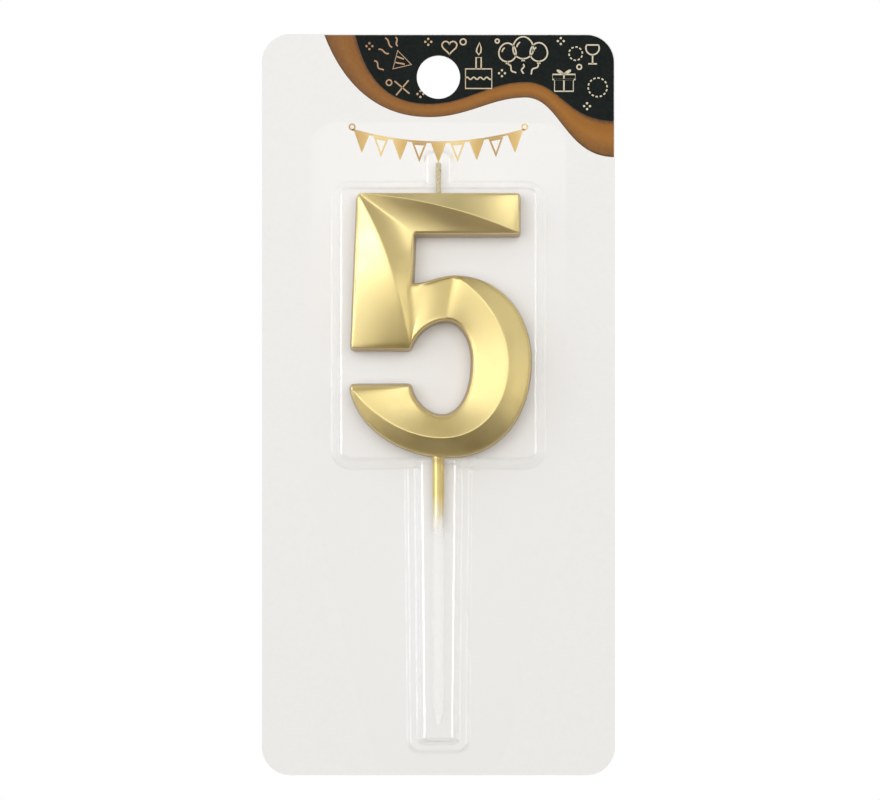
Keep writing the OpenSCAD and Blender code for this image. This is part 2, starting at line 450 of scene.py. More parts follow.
def raised(points, rise, skew, fullness):
    """The same points with a height that rises from the outline and returns to it.

    A skew over 1 moves the peak towards the end. A fullness under 1 makes the rise blunter.
    """
    t = np.linspace(0, 1, len(points)) ** skew
    height = EDGE_H + rise * np.maximum(np.sin(np.pi * t), 0) ** fullness
    return np.column_stack([points, height])


def swollen(curve, counts):
    """The bowl's first edge, raised, with points for the ridge's foot, fan and hole's edge."""
    t = np.interp(np.arange(sum(counts) + 1), np.cumsum((0,) + counts), FAN_REACH)
    height = EDGE_H + SWELL_RISE * np.maximum(np.sin(np.pi * t), 0) ** SWELL_FULLNESS
    return np.column_stack([cubic(curve, t), height])


def at_edge(points):
    return np.column_stack([points, np.full(len(points), EDGE_H)])


def numeral_facets():
    """Each facet as (first line, second line, bulge). A bulge of None: it is smoothed instead."""
    stem_steps = 2 * CURVE_STEPS
    split = round(STEM_SPLIT * stem_steps)
    stem_ridge = chain([[TOP_LEFT, (8.1, 57.3), (13.7, 40.2), STEM_RIGHT]], stem_steps)
    bar_ridge = chain([[TOP_LEFT, (15.0, 65.7), (29.3, 62.4), BAR_END]], stem_steps)
    bowl_ridge = chain(
        [
            [BOWL_TOP, (34.6, 41.0), (40.1, 31.8), (40.1, 23.4)],
            [(40.1, 23.4), (40.1, 13.5), (33.4, 5.1), (23.4, 5.1)],
            [(23.4, 5.1), (14.5, 5.1), (5.3, 10.9), TAIL_LEFT],
        ],
        CURVE_STEPS,
    )
    bowl_outer = chain(
        [
            [BOWL_TOP, (37.7, 45.8), (45.8, 36.7), (45.8, 24.5)],
            [(45.8, 24.5), (45.8, 9.7), (37.2, 0.3), (25.2, 0.3)],
            [(25.2, 0.3), (12.5, 0.3), (1.5, 8.4), TAIL_LEFT],
        ],
        CURVE_STEPS,
    )
    hole_inner = chain(
        [
            [HOLE_TOP, (28.5, 34.8), (31.3, 29.8), (31.3, 24.5)],
            [(31.3, 24.5), (31.3, 16.3), (28.3, 10.4), (23.4, 10.4)],
            [(23.4, 10.4), (19.4, 10.5), (15.9, 14.3), TAIL_RIGHT],
        ],
        CURVE_STEPS,
    )
    hole_start = chain([[STEM_RIGHT, (16.3, 31.1), (19.9, 34.8), HOLE_TOP]], CURVE_STEPS)
    stem_line = raised(stem_ridge, RIDGE_RISE, 1, 0.8)
    bar_line = raised(bar_ridge, BAR_RIDGE_RISE, 1.2, 0.9)
    bowl_line = raised(bowl_ridge, RIDGE_RISE, 1, 0.5)
    # The bowl starts as one twisted facet that runs on from the foot of the stem's ridge.
    fan = np.repeat(stem_line[-1:], FAN_STEPS, axis=0)
    swell_low = np.vstack([stem_line[split:], fan, raised(hole_start, SWELL_RISE, 1, 0.8)[1:]])
    counts = (len(stem_line) - 1 - split, FAN_STEPS, len(hole_start) - 1)
    swell_high = swollen([NOTCH_LOW, (18.6, 43.2), (22.4, 45.8), BOWL_TOP], counts)
    return [
        (stem_line, at_edge(line(TOP_LEFT, STEM_LEFT, stem_steps)), 0),
        (at_edge(line(TOP_LEFT, TOP_RIGHT, stem_steps)), bar_line, 0),
        (bar_line, at_edge(line(NOTCH_TOP, BAR_END, stem_steps)), -HOLLOW),
        (at_edge(line(NOTCH_TOP, NOTCH_LOW, split)), stem_line[: split + 1], 0),
        (swell_high, swell_low, None),
        (bowl_line, at_edge(hole_inner), 0),
        (at_edge(bowl_outer), bowl_line, 0),
    ]


def numeral_face():
    """The face as one bmesh of merged facets, its points in millimetres as (x, y, height)."""
    bm = bmesh.new()
    for first, second, bulge in numeral_facets():
        # Points crowd together towards both lines, which keeps the ridges crisp.
        share = (1 - np.cos(np.pi * np.linspace(0, 1, ACROSS + 1))) / 2
        grid = first[:, None] * (1 - share)[None, :, None] + second[:, None] * share[None, :, None]
        if bulge is None:
            for _ in range(TWIST_SMOOTHING):
                inner = grid[:, 1:-1, 2]
                grid[1:-1, 1:-1, 2] = 0.5 * inner[1:-1] + 0.25 * (inner[:-2] + inner[2:])
        else:
            along = np.linspace(0, 1, len(first))
            grid[:, :, 2] += bulge * np.outer(np.sin(np.pi * along), np.sin(np.pi * share))
        rows = [[bm.verts.new(p) for p in row] for row in grid]
        for i in range(len(rows) - 1):
            for j in range(ACROSS):
                bm.faces.new((rows[i][j], rows[i + 1][j], rows[i + 1][j + 1], rows[i][j + 1]))
    bmesh.ops.remove_doubles(bm, verts=bm.verts, dist=FACET_MERGE)
    bmesh.ops.dissolve_degenerate(bm, edges=bm.edges, dist=SLIVER)
    bmesh.ops.recalc_face_normals(bm, faces=bm.faces)
    return bm


def ordered_boundary(bm):
    """The indices of the face's outline, in order round it."""
    edges = [e for e in bm.edges if e.is_boundary]
    beside = {}
    for e in edges:
        for v in e.verts:
            beside.setdefault(v, []).append(e.other_vert(v))
    start = edges[0].verts[0]
    loop = [start, beside[start][0]]
    while True:
        ahead = [v for v in beside[loop[-1]] if v is not loop[-2]][0]
        if ahead is start:
            break
        loop.append(ahead)
    if len(loop) != len(edges):
        raise RuntimeError(f"the numeral's outline is in pieces: {len(loop)} of {len(edges)}")
    return [v.index for v in loop]


def blend_valley(points, beside):
    """Melts the fold between the bar's lower facet and the stem's right one into a curve."""
    a, b = np.array(TOP_LEFT), np.array(NOTCH_TOP)
    fold = b - a
    t = np.clip((points[:, :2] - a) @ fold / (fold @ fold), 0, 1)
    away = np.linalg.norm(points[:, :2] - a - t[:, None] * fold, axis=1)
    raised_part = (points[:, 2] > EDGE_H + LEAST_RISE) & (t > 0) & (t < 1)
    reach = VALLEY_HALF_W[0] + (VALLEY_HALF_W[1] - VALLEY_HALF_W[0]) * t
    pull = np.where(raised_part, np.exp(-((away / reach) ** 2)), 0)
    near = []
    for i in np.flatnonzero(pull > VALLEY_PULL[0]):
        gaps = np.linalg.norm(points[beside[i], :2] - points[i, :2], axis=1)
        near.append((i, beside[i], 1 / (gaps + NEAREST)))
    for _ in range(VALLEY_SMOOTHING):
        for i, others, weight in near:
            mean = (points[others, 2] @ weight) / weight.sum()
            points[i, 2] += pull[i] * VALLEY_PULL[1] * (mean - points[i, 2])


def wax_numeral():
    """A closed numeral: softened ridges, a rounded edge, drafted walls and a flat back."""
    bm = numeral_face()
    bm.verts.index_update()
    loop = ordered_boundary(bm)
    points = np.array([v.co for v in bm.verts])
    faces = [[v.index for v in f.verts] for f in bm.faces]
    beside = [[e.other_vert(v).index for e in v.link_edges] for v in bm.verts]
    bm.free()

    x, y = points[loop, :2].T
    if np.sum(x * np.roll(y, -1) - y * np.roll(x, -1)) < 0:
        loop = loop[::-1]
    outline = points[loop, :2]
    for _ in range(CORNER_ROUNDING):
        beyond = np.roll(outline, 1, axis=0) + np.roll(outline, -1, axis=0)
        outline = 0.5 * outline + 0.25 * beyond
    out = loop_normals(outline)

    blend_valley(points, beside)

    # The face is drawn in by the edge's radius, and its inside points follow smoothly.
    points[loop, :2] = outline - EDGE_R * out
    fixed = np.zeros(len(points), bool)
    fixed[loop] = True
    for _ in range(RIDGE_SOFTENING):
        mean = np.array([points[b].mean(axis=0) for b in beside])
        points = np.where(fixed[:, None], points, 0.5 * points + 0.5 * mean)

    n = len(points)
    count = len(loop)
    rings = []
    for k in range(1, EDGE_RINGS + 1):
        turn = math.pi / 2 * k / EDGE_RINGS
        offset = -EDGE_R * (1 - math.sin(turn))
        drop = EDGE_R * (1 - math.cos(turn))
        rings.append((offset, points[loop, 2] - drop))
    bevel_h, bevel_w = FOOT_BEVEL
    for height, foot_in in ((EDGE_H / 2, 0), (bevel_h, 0), (0.0, bevel_w)):
        spread = WALL_DRAFT * (1 - height / EDGE_H) - foot_in
        rings.append((spread, np.full(count, height)))
    wall = [np.column_stack([outline + out * offset, height]) for offset, height in rings]
    back = points.copy()
    back[:, 2] = 0
    back[loop, :2] = wall[-1][:, :2]
    everything = np.vstack([points] + wall + [back])
    back_start = n + count * len(wall)
    rows = [loop] + [[n + count * i + k for k in range(count)] for i in range(len(wall))]
    for upper, lower in zip(rows, rows[1:]):
        for k in range(count):
            ahead = (k + 1) % count
            faces.append([upper[k], lower[k], lower[ahead], upper[ahead]])
    front_count = len(faces) - count * len(wall)
    for f in faces[:front_count]:
        faces.append([back_start + i for i in reversed(f)])
    # The foot of the wall and the back's outline are merged when the mesh is cleaned.

    low = CAD_BOX["wax_numeral"][0]
    shift_x = low.x / MM - wall[-2][:, 0].min()
    shift_z = low.z / MM - wall[-2][:, 1].min()
    placed = [in_pack(x + shift_x, y + shift_z, CANDLE_BACK + h) for x, y, h in everything]
    piece = new_piece("wax_numeral_gold", placed, faces, "candle", "gold_wax", gold_wax())
    turn_outward(piece, WAX_MERGE)
    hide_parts("wax_numeral")
    return piece


# --------------------------------------------------------------- wick and pick

# Lengths in metres.
WICK_PITCH = 3.4 * MM
WICK_STEPS = 110
STRANDS = 3
STRAND_SIDES = 10

PICK_SIDES = 48
PICK_NOSE = [(0.18 * MM, 0.0), (0.34 * MM, 0.15 * MM)]  # radius, and height over the point
PICK_TIP = 6 * MM
PICK_TIP_STEPS = 12
PICK_TIP_FULLNESS = 0.85
PICK_ROD_STEPS = 60
PICK_ROOT_INSET = 0.5 * MM
MOULD_LINE_RISE = 0.05 * MM
MOULD_LINE_SPAN = 0.015  # as a share of the cosine round the rod


def swept(path, radius, sides):
    """(points, faces) of a tube of round section along a path."""
    ahead = np.gradient(path, axis=0)
    ahead /= np.linalg.norm(ahead, axis=1)[:, None]
    side = np.cross(ahead, (0, 1, 0))
    side /= np.linalg.norm(side, axis=1)[:, None]
    front = np.cross(ahead, side)
    turns = [2 * math.pi * k / sides for k in range(sides)]
    points = [
        tuple(p + radius * (math.cos(a) * s + math.sin(a) * f))
        for p, s, f in zip(path, side, front)
        for a in turns
    ]
    return points, tube_faces(len(path), sides)


def wick():
    """Three waxed strands twisted round each other, inside the wick's own envelope."""
    low, high = CAD_BOX["wick"]
    centre = (low + high) / 2
    strand_r = (high.x - low.x) / 4
    strands = []
    for strand in range(STRANDS):
        z = np.linspace(low.z, high.z, WICK_STEPS)
        turn = 2 * math.pi * (z - low.z) / WICK_PITCH + 2 * math.pi * strand / STRANDS
        x, y = centre.x + strand_r * np.cos(turn), centre.y + strand_r * np.sin(turn)
        strands.append(swept(np.column_stack([x, y, z]), strand_r, STRAND_SIDES))
    piece = new_piece("wick_twisted", *gather(strands), "candle", "wick_cotton", wick_cotton())
    turn_outward(piece)
    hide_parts("wick")


def pick():
    """A turned rod with two fine mould lines, its root hidden in the wax."""
    low, high = CAD_BOX["pick"]
    centre = (low + high) / 2
    rod_r = (high.x - low.x) / 2 - MOULD_LINE_RISE
    profile = [(r, low.z + up) for r, up in PICK_NOSE]
    nose_r, nose_z = profile[-1]
    for k in range(1, PICK_TIP_STEPS + 1):
        t = k / PICK_TIP_STEPS
        profile.append((nose_r + (rod_r - nose_r) * t**PICK_TIP_FULLNESS, nose_z + PICK_TIP * t))
    rod_foot, rod_top = low.z + PICK_TIP + 1 * MM, high.z - PICK_ROOT_INSET
    profile += [(rod_r, z) for z in np.linspace(rod_foot, rod_top, PICK_ROD_STEPS)]
    points = []
    for r, z in profile:
        for k in range(PICK_SIDES):
            a = 2 * math.pi * k / PICK_SIDES
            if r > 1 * MM:
                over = max(0.0, abs(math.cos(a)) - (1 - MOULD_LINE_SPAN))
                r_here = r + MOULD_LINE_RISE * over / MOULD_LINE_SPAN
            else:
                r_here = r
            points.append((centre.x + r_here * math.cos(a), centre.y + r_here * math.sin(a), z))
    faces = tube_faces(len(profile), PICK_SIDES)
    piece = new_piece("cake_pick", points, faces, "candle", "pick_plastic", pick_plastic())
    turn_outward(piece)
    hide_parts("pick")
    return piece


# -------------------------------------------------------------------- blister

# Lengths in millimetres, from the hang hole's centre and over the sheet's back.
SHEET_T = 0.4
DRAWN_SHEET_T = 0.35
CROWN = CROWN_FRONT - FLANGE_BACK
FLANGE_R = 6.0
WAIST = -106.0  # the flange narrows below this, to FOOT_HALF_W at its foot
FOOT_HALF_W = 16.0
CHANNEL_HALF_W = 9.6  # the sheet's middle, whose grid doesn't narrow with the flange
# Half width at the top and foot, top, foot, corner, wall's slope, depth and the crown's rounding.
CAVITY = (27.3, 27.3, -26.6, -100.0, 5.0, 5.4, CROWN, 3.2)
OVER_WICK = (4.1, 4.1, -18.6, -34.0, 2.6, 7.0, 7.5, 2.2)
STEP = (8.8, 8.0, -90.0, -172.4, 3.4, 3.6, 3.0, 1.2)
CHANNEL = (7.0, 6.2, -90.0, -170.6, 3.0, 3.7, 9.0, 2.4)
# Where the grid's lines crowd together, as (place, half width): from the middle, and down.
WALLS_ACROSS = ((25.9, 2.2), (8.3, 0.9), (5.9, 1.5), (3.6, 0.9))
WALLS_DOWN = [(-27.8, 2.2), (-98.8, 2.2), (-19.3, 1.2), (-171.2, 1.8), (-91, 1.0)]
END_HALF_W = 3  # the same for the sheet's two ends
CROWDING = 7.0
GRID = (150, 270)
# How widely the pockets' surfaces round into each other, and all of them into the flange.
CAVITY_FILLET, CHANNEL_FILLET, FLANGE_FILLET = 0.9, 0.7, 0.8


def smooth_min(a, b, k):
    """The smaller of two heights, rounded where they meet."""
    h = np.clip(0.5 + 0.5 * (b - a) / k, 0, 1)
    return b * (1 - h) + a * h - k * h * (1 - h)


def smooth_max(a, b, k):
    return -smooth_min(-a, -b, k)


def pocket(x, z, half_top, half_foot, top, foot, corner, slope, depth, crown):
    """Height of one drawn pocket over its base, which is zero outside its outline."""
    centre, half_h = (top + foot) / 2, (top - foot) / 2
    half_w = half_foot + (half_top - half_foot) * np.clip((z - foot) / (top - foot), 0, 1)
    qx = np.abs(x) - half_w + corner
    qz = np.abs(z - centre) - half_h + corner
    outside = np.hypot(np.maximum(qx, 0), np.maximum(qz, 0))
    inward = corner - outside - np.minimum(np.maximum(qx, qz), 0)
    return smooth_min(slope * inward, depth, crown)


def spaced(low, high, walls, count):
    """Grid lines from low to high that crowd together at the walls."""
    fine = np.linspace(low, high, 6000)
    density = np.ones_like(fine)
    for place, width in walls:
        density += CROWDING * np.exp(-(((fine - place) / width) ** 2))
    total = np.cumsum(density)
    total = (total - total[0]) / (total[-1] - total[0])
    return np.interp(np.linspace(0, 1, count), total, fine)


def sheet_grid():
    """The sheet's grid inside its flange's outline, as two arrays of places."""
    low, high = CAD_BOX["blister"]
    half_w, top, foot = high.x / MM, high.z / MM, low.z / MM
    walls = [(side * place, width) for side in (-1, 1) for place, width in WALLS_ACROSS]
    columns = spaced(-half_w, half_w, walls, GRID[0])
    rows = spaced(foot, top, WALLS_DOWN + [(foot, END_HALF_W), (top, END_HALF_W)], GRID[1])
    x = []
    for z in rows:
        reach = half_w
        if z < WAIST:
            reach = FOOT_HALF_W + (half_w - FOOT_HALF_W) * (z - foot) / (WAIST - foot)
        for end in (top - z, z - foot):
            if end < FLANGE_R:
                reach -= FLANGE_R - math.sqrt(max(FLANGE_R**2 - (FLANGE_R - end) ** 2, 0))
        outer = np.abs(columns) > CHANNEL_HALF_W
        share = (np.abs(columns) - CHANNEL_HALF_W) / (half_w - CHANNEL_HALF_W)
        moved = np.sign(columns) * (CHANNEL_HALF_W + share * (reach - CHANNEL_HALF_W))
        x.append(np.where(outer, moved, columns))
    return np.array(x), np.repeat(rows[:, None], len(columns), axis=1)


def blister():
    """The thermoformed sheet: a flange with pockets over the numeral, the wick and the pick."""
    x, z = sheet_grid()
    cavity, over_wick, step, channel = (
        pocket(x, z, *sizes) for sizes in (CAVITY, OVER_WICK, STEP, CHANNEL)
    )
    over_candle = smooth_max(cavity, over_wick, CAVITY_FILLET)
    over_pick = smooth_max(step, channel, CHANNEL_FILLET)
    height = smooth_max(over_candle, over_pick, CAVITY_FILLET)
    height = smooth_max(height, np.full_like(height, SHEET_T), FLANGE_FILLET)
    height = np.minimum(height, CROWN)
    rows, count = x.shape
    points = [
        in_pack(px, pz, FLANGE_BACK + h) for px, pz, h in zip(x.ravel(), z.ravel(), height.ravel())
    ]
    faces = [
        [i * count + j, i * count + j + 1, (i + 1) * count + j + 1, (i + 1) * count + j]
        for i in range(rows - 1)
        for j in range(count - 1)
    ]
    piece = new_piece("blister_shell", points, faces, "cover", "clear_sheet", clear_sheet())
    # The cut edge stays sharp, or its shading would spread over the flange.
    bm = bmesh.new()
    bm.from_mesh(piece.data)
    for edge in bm.edges:
        edge.smooth = not edge.is_boundary
    bm.to_mesh(piece.data)
    bm.free()
    solid = piece.modifiers.new("sheet", "SOLIDIFY")
    solid.thickness = DRAWN_SHEET_T * MM
    solid.offset = -1
    # With its shadow and its bounced light the sheet would darken the card behind it too much.
    piece.visible_shadow = False
    piece.visible_diffuse = False
    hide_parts("blister")
    return piece


# ---------------------------------------------------------------------- print

# Lengths in millimetres, from the hang hole's centre, apart from INK_MERGE in metres.
INK_T = 0.012
INK_MERGE = 1e-9
LINE_W = 0.36
CARD_HALF_W = CAD_BOX["backing_card"][1].x / MM
CARD_TOP = CAD_BOX["backing_card"][1].z / MM
CORNER_R = 7.2
CUT_EDGE_R = 0.06
HANG_R = 5.5
HANG_CLEAR = 0.02
BLEED = 0.25

BAND_INNER = [
    [(-21.2, CARD_TOP - BLEED), (-18.6, 0.2), (-13.6, -6.8), (-2.3, -6.8)],
    [(-2.3, -6.8), (7.0, -6.8), (13.2, -1.2), (22.2, -1.2)],
    [(22.2, -1.2), (31.0, -1.2), (32.5, -10.9), (CARD_HALF_W - BLEED, -11.2)],
]
BAND_OUTER = [
    [(-29.1, CARD_TOP - BLEED), (-24.0, -2.6), (-15.0, -10.2), (-2.3, -10.2)],
    [(-2.3, -10.2), (7.6, -10.2), (13.4, -5.2), (22.2, -5.2)],
    [(22.2, -5.2), (31.0, -5.2), (32.2, -20.2), (CARD_HALF_W - BLEED, -20.4)],
]


def ink_piece(name, points, faces, material, merge=0.0):
    """A piece of print on the card."""
    piece = new_piece(name, points, faces, "card", "card", material, smooth=False)
    turn_outward(piece, merge)
    return piece


def ink_slab(name, loops, material, lift=0.0):
    """A flat patch of ink with holes, drawn from closed loops of card points."""
    curve = bpy.data.curves.new(name, "CURVE")
    curve.dimensions = "2D"
    curve.fill_mode = "BOTH"
    curve.extrude = INK_T / 2
    for loop in loops:
        spline = curve.splines.new("POLY")
        spline.points.add(len(loop) - 1)
        for point, (x, z) in zip(spline.points, loop):
            point.co = (x, z, 0, 1)
        spline.use_cyclic_u = True
    shape = bpy.data.objects.new(name + "_shape", curve)
    bpy.context.scene.collection.objects.link(shape)
    bpy.context.view_layer.update()
    mesh = shape.evaluated_get(bpy.context.evaluated_depsgraph_get()).to_mesh()
    front = CARD_FRONT + INK_T / 2 + lift
    points = [in_pack(v.co.x, v.co.y, front + v.co.z) for v in mesh.vertices]
    faces = [list(p.vertices) for p in mesh.polygons]
    shape.to_mesh_clear()
    bpy.data.objects.remove(shape)
    bpy.data.curves.remove(curve)
    ink_piece(name, points, faces, material, INK_MERGE)


def circle(x, z, r, steps=40, start=0.0, stop=360.0):
    angles = np.radians(np.linspace(start, stop, steps + 1))
    return [(x + r * math.cos(a), z + r * math.sin(a)) for a in angles]


def stroke(path, width, closed=False, lift=0.0):
    """(points, faces) of a raised line of ink along a path of card points."""
    p = np.array(path, float)
    if closed and np.allclose(p[0], p[-1]):
        p = p[:-1]
    ahead = (np.roll(p, -1, axis=0) - np.roll(p, 1, axis=0)) if closed else np.gradient(p, axis=0)
    ahead /= np.linalg.norm(ahead, axis=1)[:, None] + TINY
    side = np.column_stack([-ahead[:, 1], ahead[:, 0]]) * width / 2
    points = []
    for q, s in zip(p, side):
        for sign in (1, -1):
            for height in (CARD_FRONT + lift, CARD_FRONT + INK_T + lift):
                points.append(in_pack(*(q + sign * s), height))
    faces = []
    n = len(p)
    for i in range(n if closed else n - 1):
        a, b = 4 * i, 4 * ((i + 1) % n)
        for j, k in ((0, 1), (1, 3), (3, 2), (2, 0)):
            faces.append([a + j, b + j, b + k, a + k])
    if not closed:
        faces.append([0, 1, 3, 2])
        faces.append([4 * (n - 1) + k for k in (2, 3, 1, 0)])
    return points, faces


def heart(x, z, size):
    t = np.linspace(0, 2 * math.pi, 40)
    hx = 16 * np.sin(t) ** 3
    hz = 13 * np.cos(t) - 5 * np.cos(2 * t) - 2 * np.cos(3 * t) - np.cos(4 * t)
    return [(x + size * a / 16, z + size * b / 16) for a, b in zip(hx, hz)]


def balloon(x, z, r):
    """A balloon's outline and its knot, as strokes."""
    outline = [
        (x + r * math.sin(t) * (1 - 0.08 * math.cos(t)), z + 1.08 * r * math.cos(t))
        for t in np.linspace(0, 2 * math.pi, 36)
    ]
    glint = circle(x, z, 0.62 * r, 8, 120, 175)
    foot = z - 1.08 * r
    knot = [(x - 0.4, foot - 0.5), (x, foot), (x + 0.4, foot - 0.5)]
    return [(outline, True), (glint, False), (knot, True)]


def wavy(x0, z0, x1, z1, swing, waves, steps=24):
    """A wavy line between two places."""
    t = np.linspace(0, 1, steps)
    a, b = np.array((x0, z0)), np.array((x1, z1))
    along = (b - a) / np.linalg.norm(b - a)
    side = np.array((-along[1], along[0]))
    return [tuple(a + (b - a) * k + side * swing * math.sin(2 * math.pi * waves * k)) for k in t]


def box(x0, z0, x1, z1):
    return [(x0, z0), (x1, z0), (x1, z1), (x0, z1)]


def party_lines():
    """Every line of the party pictograms as (path, closed)."""
    # A heart, a layer cake with one candle, and three balloons.
    flame = [(10.25, 5.7), (9.7, 6.5), (9.8, 7.3), (10.5, 8.8), (10.9, 7.4), (10.8, 6.3)]
    lines = [
        (heart(2.8, 7.7, 1.9), True),
        (box(6.9, -2.9, 13.6, 2.1), True),
        (wavy(6.9, -0.3, 13.6, -0.3, 0.28, 4, 40), False),
        ([(9.6, 2.1), (9.6, 5.0), (10.9, 5.0), (10.9, 2.1)], False),
        (flame, True),
    ]
    for x, z, r in ((17.6, 6.3, 2.2), (21.6, 7.5, 2.6), (25.6, 6.4, 2.2)):
        lines += balloon(x, z, r)
    for x, end in ((17.7, 19.6), (21.6, 21.4), (25.5, 23.4)):
        lines.append((wavy(x, 3.3, end, 0.9, 0.3, 1.2), False))
    # A present with a bow.
    lines += [
        (box(29.6, -3.6, 34.4, -0.6), True),
        (box(29.1, -0.6, 34.9, 0.7), True),
        ([(32.0, -3.6), (32.0, 0.7)], False),
    ]
    for side in (-1, 1):
        bow = [(32.0, 0.8), (32.0 + side * 2.2, 1.2), (32.0 + side * 2.3, 2.8), (32.0, 0.8)]
        lines.append((bezier(bow, 14)[:-1], True))
    # A glass on a stem, a party popper, and two crossed sticks.
    lines += [
        (circle(39.3, 7.4, 1.7, 20, 150, 390), False),
        ([(37.8, 8.2), (40.8, 8.2)], False),
        ([(39.3, 5.7), (39.3, 3.4)], False),
        ([(38.2, 3.4), (40.4, 3.4)], False),
        ([(-10.4, 6.8), (-6.9, 3.2), (-11.6, 2.1)], True),
        ([(-10.8, 5.3), (-8.8, 4.6)], False),
        ([(-11.2, 3.8), (-8.6, 3.3)], False),
        ([(-11.2, -1.0), (-7.4, -4.2)], False),
        ([(-7.6, -0.8), (-10.8, -4.6)], False),
    ]
    # The popper's streamers, and one that has flown off.
    for ends in (
        (-11.8, 7.6, -13.6, 10.0),
        (-10.4, 7.9, -10.9, 10.2),
        (-12.6, 6.0, -15.3, 7.1),
    ):
        lines.append((wavy(*ends, 0.22, 1.0), False))
    lines.append((wavy(-16.4, 4.2, -14.2, 1.6, 0.35, 1.2), False))
    # Rings, and rings of dashes.
    for x, z, r in ((6.3, 9.0, 0.75), (35.9, 2.6, 0.6), (-12.6, -1.4, 0.7), (15.0, 9.2, 0.5)):
        lines.append((circle(x, z, r, 24), True))
    for x, z, r, dashes in ((35.0, 6.0, 1.7, 10), (40.6, -2.6, 2.4, 14)):
        for k in range(dashes):
            start = 360 * k / dashes
            lines.append((circle(x, z, r, 4, start, start + 200 / dashes), False))
    return lines


def party_dots():
    """The four-dot sparkles."""
    places = ((-17.6, 7.9), (-2.6, 9.0), (37.9, -7.4), (31.2, 9.2), (16.2, 1.0), (-4.6, -4.3))
    return [
        circle(x + dx, z + dz, 0.3, 14)
        for x, z in places
        for dx, dz in ((0.75, 0), (-0.75, 0), (0, 0.75), (0, -0.75))
    ]


def card_print():
    """The wave of bronze, the dark band with its pictograms, and a plain bunting garland."""
    steps = 60
    inner, outer = chain(BAND_INNER, steps), chain(BAND_OUTER, steps)
    corner = circle(CARD_HALF_W - CORNER_R, CARD_TOP - CORNER_R, CORNER_R - BLEED, 16, 0, 90)
    band = [tuple(p) for p in inner] + corner
    ink_slab("ink_dark_band", [band, circle(0, 0, HANG_R + HANG_CLEAR, 64)], ink_black())

    # The bronze wave is a grid, so that its tone can change across it.
    across_steps = 8
    share = np.linspace(0, 1, across_steps + 1)
    grid = outer[:, None] * (1 - share)[None, :, None] + inner[:, None] * share[None, :, None]
    grid[:, -1] = inner
    n, m = grid.shape[:2]
    points = [in_pack(x, z, CARD_FRONT + h) for h in (INK_T, 0.0) for x, z in grid.reshape(-1, 2)]
    faces = []
    for i in range(n - 1):
        for j in range(m - 1):
            q = [i * m + j, i * m + j + 1, (i + 1) * m + j + 1, (i + 1) * m + j]
            faces += [q, [n * m + k for k in reversed(q)]]
    rim = [i * m for i in range(n)] + [(n - 1) * m + j for j in range(1, m)]
    rim += [i * m + m - 1 for i in range(n - 2, -1, -1)] + list(range(m - 2, 0, -1))
    for a, b in zip(rim, rim[1:] + rim[:1]):
        faces.append([a, b, b + n * m, a + n * m])
    wave = ink_piece("ink_bronze_wave", points, faces, ink_gold_band())
    across = wave.data.attributes.new("across", "FLOAT", "POINT")
    across.data.foreach_set("value", np.tile(share, 2 * n).astype(np.float32))

    strokes = [stroke(path, LINE_W, closed, INK_T) for path, closed in party_lines()]
    lines = ink_line()
    ink_piece("ink_pictograms", *gather(strokes), lines)
    ink_slab("ink_sparkles", party_dots(), lines, INK_T)

    garland()


def garland():
    """A string of pennants, solid and outlined in turn."""
    gold = ink_ornament()
    span, end_z, sag, string_w = 22.0, -13.4, 3.2, 0.5
    count, half_w, drop, below, inset = 9, 1.9, 5.0, 0.3, 0.62
    ring_r, ring_w = 0.7, 0.42

    def string_z(x):
        return end_z - sag * (1 - (x / span) ** 2)

    xs = np.linspace(-span, span, 60)
    strokes = [stroke([(x, string_z(x)) for x in xs], string_w)]
    solid = []
    for k in range(count):
        x = -span + (k + 0.5) * 2 * span / count
        left, right = ((end, string_z(end) - below) for end in (x - half_w, x + half_w))
        tip = (x, (left[1] + right[1]) / 2 - drop)
        if k % 2 == 0:
            solid.append([left, tip, right])
        else:
            corners = [np.array(p) for p in (left, tip, right)]
            middle = sum(corners) / 3
            inside = [tuple(middle + (c - middle) * inset) for c in corners]
            solid += [[left, tip, right], inside]
    for x in (-span, span):
        strokes.append(stroke(circle(x, end_z + ring_r, ring_r, 24), ring_w, True))
    ink_piece("ink_garland_string", *gather(strokes), gold)
    ink_slab("ink_pennants", solid, gold)


# ---------------------------------------------------------------------- stage

BACKDROP = 1.0  # how bright the white behind the pack is to the camera
LIGHT = 0.33  # what every lamp's power is multiplied by
AIM = Vector((0, 0, -0.083))
# The tent's colour from straight below to straight above. Each side multiplies it.
TENT = [
    (0.0, (0.10, 0.06, 0.012)),
    (0.27, (0.125, 0.085, 0.027)),
    (0.39, (0.47, 0.42, 0.33)),
    (0.48, (0.91, 0.92, 0.95)),
    (0.62, (0.78, 0.78, 0.775)),
    (0.78, (0.63, 0.62, 0.59)),
    (1.0, (0.50, 0.485, 0.435)),
]
TENT_LEFT = (1.18, 1.21, 1.33)
TENT_RIGHT = (0.63, 0.60, 0.54)
# The white's share, from straight in front to straight behind: all of it level with the card.
NONE, ALL = (0, 0, 0), (1, 1, 1)
TENT_RIM = [(0.46, NONE), (0.495, ALL), (0.53, ALL), (0.6, NONE)]
RIM_WHITE = (1.2, 1.2, 1.19)


def area_light(name, place, width, height, power, gloss=True, only=()):
    """A light aimed at the pack's middle. With pieces in only, it lights nothing else."""
    data = bpy.data.lights.new(name, "AREA")
    data.shape = "RECTANGLE"
    data.size, data.size_y = width, height
    data.energy = power * LIGHT
    lamp = bpy.data.objects.new(name, data)
    lamp.location = place
    lamp.rotation_euler = (AIM - Vector(place)).to_track_quat("-Z", "Y").to_euler()
    lamp.visible_glossy = gloss
    bpy.context.scene.collection.objects.link(lamp)
    if only:
        lit = bpy.data.collections.new(name + "_lights")
        for piece in only:
            lit.objects.link(piece)
        lamp.light_linking.receiver_collection = lit


